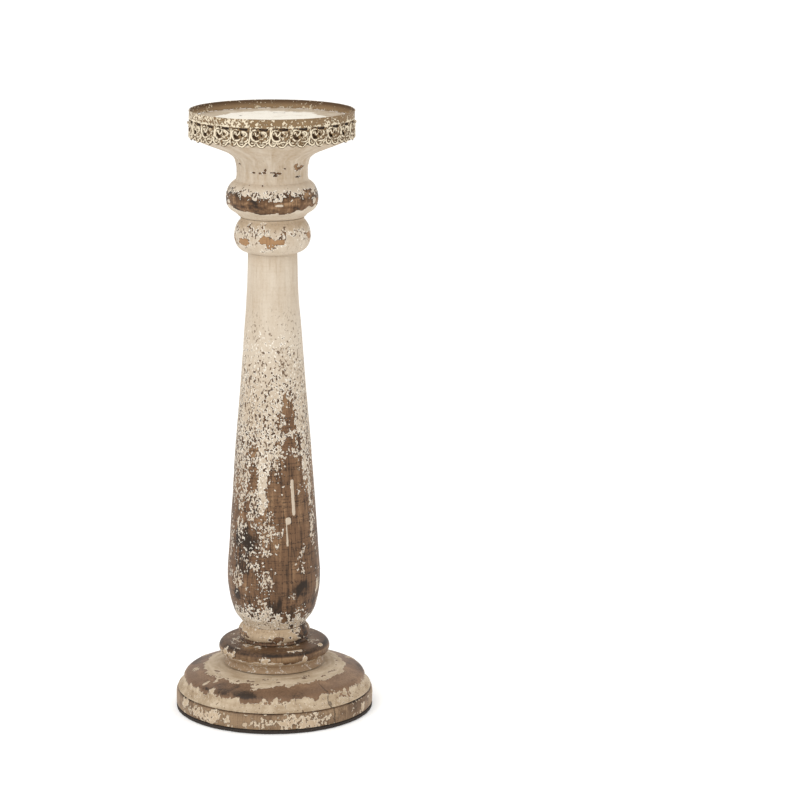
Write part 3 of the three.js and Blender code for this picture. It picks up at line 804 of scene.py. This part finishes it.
galleryLook = {
    "motifs": 26,
    "radius": 61.5,
    "sheet": 0.5,
    "paintDepth": 0.0003,
    "seamAngle": -14,
    "stripColumns": 520,
    "stripFoot": 15.0,  # where the plain strip starts above the lace
    "colours": {"rubbed": shade(148, 122, 88), "rubbedDark": shade(112, 88, 60),
                "innerTop": shade(88, 66, 46), "innerFoot": shade(154, 128, 96),
                "streak": shade(84, 64, 48), "chipShadowColour": shade(60, 46, 34),
                "paint": shade(244, 233, 210), "paintDull": shade(204, 186, 156),
                "shadeAndGrime": shade(66, 45, 26)},
    "strokes": [  # each a run of [round, up] in mm, its width and its height
        ([(7.0, 13.1), (5.3, 13.6), (3.5, 13.1), (2.4, 11.6), (2.2, 9.4), (2.9, 7.2), (4.4, 5.8),
          (6.3, 5.6), (7.8, 6.1), (8.7, 7.2)], 1.35, 0.75),
        ([(3.9, 10.3), (4.0, 11.3), (4.7, 11.9), (5.5, 11.3), (5.8, 9.9), (6.4, 9.4), (7.6, 10.3),
          (8.6, 12.1), (8.3, 13.3)], 1.15, 0.7),
        ([(9.4, 12.2), (11.4, 12.2), (13.1, 11.6), (13.6, 10.4), (12.9, 9.2), (11.9, 8.6)], 1.4, 0.7),
        ([(9.6, 11.4), (10.9, 11.3), (11.9, 10.7), (12.3, 9.9)], 0.9, 0.5),
        ([(11.6, 8.2), (10.5, 7.8), (10.1, 7.1), (11.2, 7.1)], 0.9, 0.6),
        ([(8.5, 5.2), (9.8, 4.9), (11.2, 4.9), (13.0, 5.2), (14.2, 6.1), (14.8, 7.6)], 1.1, 0.65),
        ([(1.7, 14.4), (1.5, 13.2), (1.5, 11.3), (1.2, 7.9), (0.7, 6.0), (0.5, 4.4), (1.2, 3.0),
          (2.9, 2.0), (4.4, 2.5), (5.3, 3.7), (6.1, 4.9)], 1.25, 0.75),
        ([(6.4, 4.6), (6.9, 2.8), (8.3, 1.6), (10.2, 1.2), (11.9, 2.3), (13.1, 3.7), (14.2, 4.4),
          (15.2, 4.6)], 1.25, 0.75),
        ([(2.6, 4.4), (3.4, 4.0), (3.9, 4.6)], 0.9, 0.5),
        ([(9.2, 3.2), (10.2, 2.8), (11.0, 3.5)], 0.9, 0.5),
    ],
    "holes": [
        [(7.9, 13.5), (10.6, 13.2), (13.9, 13.0), (14.3, 14.6), (11.6, 15.1), (8.0, 15.1)],
        [(3.5, 14.2), (6.7, 14.1), (6.6, 15.1), (3.6, 15.1)],
        [(3.3, 9.6), (3.6, 7.9), (4.7, 6.8), (6.2, 6.5), (7.5, 7.0), (7.0, 8.4), (5.5, 8.9),
         (4.6, 9.9), (3.6, 10.4)],
        [(9.4, 8.6), (10.4, 9.0), (10.6, 10.2), (9.4, 10.8), (8.7, 9.8)],
        [(6.9, 11.0), (7.7, 11.9), (7.3, 12.8), (6.3, 12.6)],
        [(13.4, 7.0), (14.2, 8.6), (15.0, 11.6), (14.6, 12.4), (14.3, 10.4)],
        [(2.2, 4.8), (2.4, 5.8), (1.6, 6.0), (1.4, 4.6)],
        [(8.2, 3.8), (8.6, 2.8), (9.0, 3.8)],
    ],
    "leftSide": [(1.9, 15.3), (1.9, 13.2), (1.75, 12.2), (1.6, 11.3), (1.4, 9.6), (1.2, 7.9),
                 (0.9, 6.4), (0.75, 5.2), (0.6, 4.0)],
    "lowerEdge": [(1.4, 2.6), (2.9, 1.6), (4.6, 2.1), (5.6, 3.3), (6.2, 4.1), (6.6, 3.0),
                  (7.2, 1.8), (8.4, 1.1), (10.2, 0.7), (12.1, 1.8), (13.3, 3.2), (14.4, 3.9)],
}


def galleryFinish():
    # raised parts keep cream paint, the rest is rubbed tan sheet, darkened beside the scrolls by
    # painted shade and grime
    f = Finish("galleryPaint")
    crest, cream, inside = f.attribute("crest"), f.attribute("cream"), f.attribute("inside")
    fine = f.noise(1.5, (1, 1, 1), 2.0, 0.6)
    broad = f.noise(7, (1, 1, 1), 3.0)
    streak = f.noise(1.4, (9, 9, 1), 3.0)
    edge = cream + crest * 0.42 + (fine - 0.5) * 2.4 + (broad - 0.5) * 0.8
    paint = f.rise(edge, 0.50, 0.58)
    # a painted shadow on the sheet beside the paint's edge
    paintedChipShadow = f.rise(edge, 0.36, 0.48)
    tint = galleryLook["colours"]
    rim = level("gallery_band", True)
    metal = f.mix(broad, tint["rubbed"], tint["rubbedDark"])
    inner = f.mix(f.rise(f.axis(2), rim - 0.4, rim - 5.5), tint["innerTop"], tint["innerFoot"])
    metal = f.mix(inside, metal, inner)
    metal = f.mix(f.rise(streak, 0.55, 0.75) * 0.4, metal, tint["streak"])
    metal = f.mix(paintedChipShadow * 0.45, metal, tint["chipShadowColour"])
    colour = f.mix(paint, metal, f.mix(fine, tint["paint"], tint["paintDull"]))
    # painted shade and grime on the skirts beside the scrolls
    colour = f.mix(f.attribute("shadeAndGrime") * 0.9, colour, tint["shadeAndGrime"])
    f.bump(0.8, galleryLook["paintDepth"], paint * 0.6 + fine * 0.6)
    f.fixed(Specular_IOR_Level=0.3)
    f.give(Base_Color=colour, Roughness=0.58 + paint * 0.1, Metallic=(1 - paint) * 0.15)
    return f.material


def roundTheBand(u, v, lift, base):
    # wraps a flat layout, u round and v up, onto the band; lift stands out from it
    radius = galleryLook["radius"]
    return around(u / radius, radius + lift, base + v) * mm


def motifPitch():
    return 2 * math.pi * galleryLook["radius"] / galleryLook["motifs"]


def laceSheet(base):
    # the pierced strip: one motif filled in flat, repeated, welded and thickened
    pitch = motifPitch()
    left = [np.array(p) for p in galleryLook["leftSide"]]
    lower = alongCurve([left[-1], *galleryLook["lowerEdge"],
                        (left[-1][0] + pitch, left[-1][1])], 3)
    right = [p + [pitch, 0] for p in left[::-1]]
    topEdge = [np.array([u, left[0][1]]) for u in np.linspace(right[-1][0], left[0][0], 14)]
    outline = left + [np.array(p) for p in lower[1:-1]] + right + topEdge[1:-1]
    tile = bmesh.new()

    def loop(points):
        corners = [tile.verts.new((p[0], p[1], 0)) for p in points]
        for a, b in zip(corners, corners[1:] + corners[:1]):
            tile.edges.new((a, b))

    loop(outline)
    for hole in galleryLook["holes"]:
        loop(alongCurve([*hole, hole[0]], 3)[:-1])
    bmesh.ops.triangle_fill(tile, use_beauty=True, use_dissolve=False, edges=tile.edges[:],
                            normal=(0, 0, 1))
    bmesh.ops.recalc_face_normals(tile, faces=tile.faces[:])
    if sum(f.normal.z for f in tile.faces) < 0:
        bmesh.ops.reverse_faces(tile, faces=tile.faces[:])
    flat = np.array([v.co[:] for v in tile.verts])
    tile.verts.index_update()
    triangles = [[v.index for v in f.verts] for f in tile.faces]
    tile.free()
    whole = bmesh.new()
    for motif in range(galleryLook["motifs"]):
        spots = roundTheBand(flat[:, 0] + motif * pitch, flat[:, 1], 0, base)
        corners = [whole.verts.new(p) for p in spots]
        for t in triangles:
            whole.faces.new([corners[i] for i in t])
    bmesh.ops.remove_doubles(whole, verts=whole.verts[:], dist=0.02 * mm)
    whole.normal_update()
    bmesh.ops.solidify(whole, geom=whole.faces[:], thickness=galleryLook["sheet"] * mm)
    bmesh.ops.recalc_face_normals(whole, faces=whole.faces[:])
    return whole


strokeSection = [  # across, out and how dark with painted shade and grime, from one skirt over the crest to the other
    (-0.82, -0.2, 1), (-0.80, 0.08, 1), (-0.52, 0.14, 0.6), (-0.32, 0.9, 0),
    (0.32, 0.9, 0), (0.52, 0.14, 0.6), (0.80, 0.08, 1), (0.82, -0.2, 1),
]


def addStroke(body, crest, shadeAndGrime, points, width, tall, shift, base):
    # a raised scroll with a thin dark skirt beside it, painted shade and grime, thinner towards its
    # two ends
    spine = evenly(alongCurve(points, 6), 0.55)
    way = np.gradient(spine, axis=0)
    way /= np.linalg.norm(way, axis=1, keepdims=True)
    side = np.stack([-way[:, 1], way[:, 0]], axis=1)
    part = np.linspace(0, 1, len(spine))
    taper = np.sqrt(np.clip(np.minimum(part, 1 - part) * 6 + 0.12, 0, 1))[:, None]
    section = np.array(strokeSection)
    flat = spine[:, None] + side[:, None] * (section[:, 0] * width * taper)[:, :, None]
    spots = roundTheBand(flat[..., 0] + shift, flat[..., 1], section[:, 1] * tall * taper, base)
    rings = []
    for row in spots:
        ring = [body.verts.new(spot) for spot in row]
        for corner, (_, lift, shadeAndGrimeLevel) in zip(ring, strokeSection):
            corner[crest], corner[shadeAndGrime] = max(lift, 0) / 0.9, shadeAndGrimeLevel
        rings.append(ring)
    for a, b in zip(rings, rings[1:]):
        for i in range(len(section)):
            j = (i + 1) % len(section)
            body.faces.new((a[i], a[j], b[j], b[i]))
    body.faces.new(rings[0][::-1])
    body.faces.new(rings[-1])


def plainStrip(height):
    # the plain upper strip with its rolled rim, as a closed run of [out, up]
    low = galleryLook["stripFoot"]
    run = [(-0.55, low), (0.05, low), (0.30, low + 0.25), (0.30, low + 0.9), (0.12, low + 1.3),
           (0.12, height - 1.2), (0.35, height - 0.9), (0.45, height - 0.45), (0.2, height - 0.1),
           (-0.15, height), (-0.5, height - 0.15), (-0.65, height - 0.6), (-0.6, height - 1.0),
           (-0.55, height - 1.6)]
    return evenly(run + [(-0.55, low + 0.4)], 0.45)


def addStrip(body, base, top):
    # slightly dented, and thicker to the left of the seam, where one end laps the other
    strip, columns = plainStrip(top - base), galleryLook["stripColumns"]
    angles = np.arange(columns) * 360 / columns
    place = Place(angles, galleryLook["radius"] + strip[:, :1], base + strip[:, 1:])
    away = -place.across(galleryLook["seamAngle"]) - np.sin(place.height * 2.4) * 0.7
    lap = rise(away, 0, 0.8) * (1 - rise(away, 14, 34)) * (strip[:, :1] > -0.2)
    radius = place.radius + np.minimum(place.blobs(6, 81, 3) * 0.35, 0.25) + lap * 0.35
    grid = [[body.verts.new(p) for p in row]
            for row in around(np.radians(angles), radius, place.height) * mm]
    for a, b in zip(grid, grid[1:] + grid[:1]):
        for c in range(columns):
            d = (c + 1) % columns
            body.faces.new((a[c], a[d], b[d], b[c]))


def bandMap(mesh, angle, up, inside):
    # unrolled once round, the outside over the inside; a face never spans the map's two ends
    corner = np.zeros(len(mesh.loops), int)
    mesh.loops.foreach_get("vertex_index", corner)
    u, v = angle[corner] / 360 + 0.5, up[corner]
    starts = np.array([p.loop_start for p in mesh.polygons])
    counts = np.array([p.loop_total for p in mesh.polygons])
    step = u - u[starts][np.repeat(np.arange(len(starts)), counts)]
    u = np.where(step > 0.5, u - 1, np.where(step < -0.5, u + 1, u))
    v = np.where(inside[corner] > 0.5, v * 0.3 + 0.69, v * 0.66 + 0.005)
    return np.stack([np.clip(u, 0, 1), v], 1)


def makeGallery():
    base, top = level("gallery_band"), level("gallery_band", True)
    body = laceSheet(base)
    for key in ("crest", "shadeAndGrime"):
        body.verts.layers.float.new(key)
    crest, shadeAndGrime = body.verts.layers.float["crest"], body.verts.layers.float["shadeAndGrime"]
    for motif in range(galleryLook["motifs"]):
        for points, width, tall in galleryLook["strokes"]:
            addStroke(body, crest, shadeAndGrime, points, width, tall, motif * motifPitch(), base)
    addStrip(body, base, top)
    bmesh.ops.recalc_face_normals(body, faces=body.faces[:])
    mesh = bpy.data.meshes.new("galleryBand")
    body.to_mesh(mesh)
    body.free()

    spots = np.array([v.co[:] for v in mesh.vertices]) / mm
    angle = np.degrees(np.arctan2(spots[:, 0], -spots[:, 1]))
    place = Place(angle, np.hypot(spots[:, 0], spots[:, 1]), spots[:, 2])
    foot = base + galleryLook["stripFoot"]
    isStrip = rise(place.height, foot + 0.1, foot + 0.7)
    left = -place.across(galleryLook["seamAngle"])
    leftOfSeam = rise(left, -0.5, 0.5) * (1 - rise(left, 60, 150))
    inside = 1 - rise(galleryLook["radius"] - place.radius, 0.45, 0.25)
    line = rise(place.height, foot, foot + 0.3) * (1 - rise(place.height, foot + 0.9, foot + 1.5))
    cream = 0.34 + isStrip * (leftOfSeam * 0.20 - 0.04) + line * 0.26
    cream = cream + place.blobs(5, 83, 3) * 0.3 - inside * 0.15
    writeAttribute(mesh, "cream", np.clip(cream, 0, 1))
    writeAttribute(mesh, "inside", inside)
    writeMap(mesh, bandMap(mesh, angle, (spots[:, 2] - base) / (top - base), inside))
    fit(addPiece(mesh, sharpAngle=60), ["gallery_band"], galleryFinish())


# Hidden hardware and nails keep their own shapes

metalLooks = {
    "steelZinc": {"light": shade(172, 172, 168), "dark": shade(128, 127, 122), "rough": 0.42,
                  "metallic": 1.0},
    "brassDull": {"light": shade(186, 150, 92), "dark": shade(134, 102, 60), "rough": 0.45,
                  "metallic": 1.0},
    "nailPainted": {"light": shade(206, 188, 160), "dark": shade(128, 100, 68), "rough": 0.6,
                    "metallic": 0.3},
}


def metalFinish(name):
    look = metalLooks[name]
    f = Finish(name)
    blot = f.noise(2.5, (1, 1, 1), 4.0, 0.6)
    scratch = f.noise(0.4, (1, 1, 9), 2.0)
    colour = f.mix(f.rise(blot, 0.35, 0.65), look["light"], look["dark"])
    f.bump(0.4, 0.0001, scratch)
    f.fixed(Metallic=look["metallic"])
    f.give(Base_Color=colour, Roughness=look["rough"] + (blot - 0.5) * 0.3)
    return f.material


def dressHardware():
    steel, brass, nails = [metalFinish(name) for name in metalLooks]
    for name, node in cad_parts.items():
        if node.hide_render:
            continue
        if name.startswith("gallery_nail"):
            finish = nails
        elif name == "threaded_insert":
            finish = brass
        else:
            finish = steel
        node.data.materials.clear()
        node.data.materials.append(finish)


# Scene

studio = {
    "worldStrength": 0.9,
    "keyPlace": (-0.9, -1.6, 1.7), "keySize": 1.3, "keyPower": 17,
    "fillPlace": (1.5, -1.2, 0.9), "fillSize": 1.2, "fillPower": 3,
    "floorColour": shade(250, 249, 247), "floorTooth": shade(244, 243, 240), "floorGlow": 0.2,
    "floorReach": 6, "sweepStart": 3.0, "sweepRise": 0.5,
    "cameraPlace": (0.09612, -2.3018, 0.7470), "pitch": 12.392, "roll": 0.253, "lens": 139.89,
}


def areaLight(name, place, size, power):
    light = bpy.data.lights.new(name, "AREA")
    light.shape, light.size, light.energy = "DISK", size, power
    lamp = bpy.data.objects.new(name, light)
    lamp.location = place
    lamp.rotation_euler = (Vector((0, 0, 0.2)) - Vector(place)).to_track_quat("-Z", "Y").to_euler()
    bpy.context.scene.collection.objects.link(lamp)


def makeStudio():
    scene = bpy.context.scene
    scene.view_settings.view_transform = "Standard"
    world = bpy.data.worlds.new("studioWorld")
    world.use_nodes = True
    scene.world = world
    ground = world.node_tree.nodes["Background"]
    ground.inputs["Color"].default_value = (1, 1, 1, 1)
    ground.inputs["Strength"].default_value = studio["worldStrength"]
    areaLight("keyLight", studio["keyPlace"], studio["keySize"], studio["keyPower"])
    areaLight("fillLight", studio["fillPlace"], studio["fillSize"], studio["fillPower"])

    mesh = bpy.data.meshes.new("studioFloor")
    body = bmesh.new()
    bmesh.ops.create_grid(body, x_segments=40, y_segments=40, size=studio["floorReach"])
    for corner in body.verts:  # the floor sweeps up into a backdrop
        corner.co.z = max(0.0, corner.co.y - studio["sweepStart"]) ** 2 * studio["sweepRise"]
    body.to_mesh(mesh)
    body.free()
    floor = bpy.data.objects.new("studioFloor", mesh)
    scene.collection.objects.link(floor)
    f = Finish("floorPaper")
    tooth = f.noise(3, (1, 1, 1), 3.0)
    f.give(Base_Color=f.mix(tooth * 0.1, studio["floorColour"], studio["floorTooth"]))
    f.fixed(Roughness=0.9, Emission_Color=(1, 1, 1, 1), Emission_Strength=studio["floorGlow"])
    mesh.materials.append(f.material)

    camera = bpy.data.cameras.new("camera")
    camera.lens = studio["lens"]
    camera.sensor_width = 36
    camera.clip_start, camera.clip_end = 0.05, 60
    eye = bpy.data.objects.new("camera", camera)
    eye.matrix_world = (Matrix.Translation(studio["cameraPlace"])
                        @ Euler((math.radians(90 - studio["pitch"]), 0, 0)).to_matrix().to_4x4()
                        @ Matrix.Rotation(math.radians(studio["roll"]), 4, "Z"))
    scene.collection.objects.link(eye)
    scene.camera = eye


makeStudio()
makeBase()
makeColumn()
makePlatform()
makeGallery()
dressHardware()
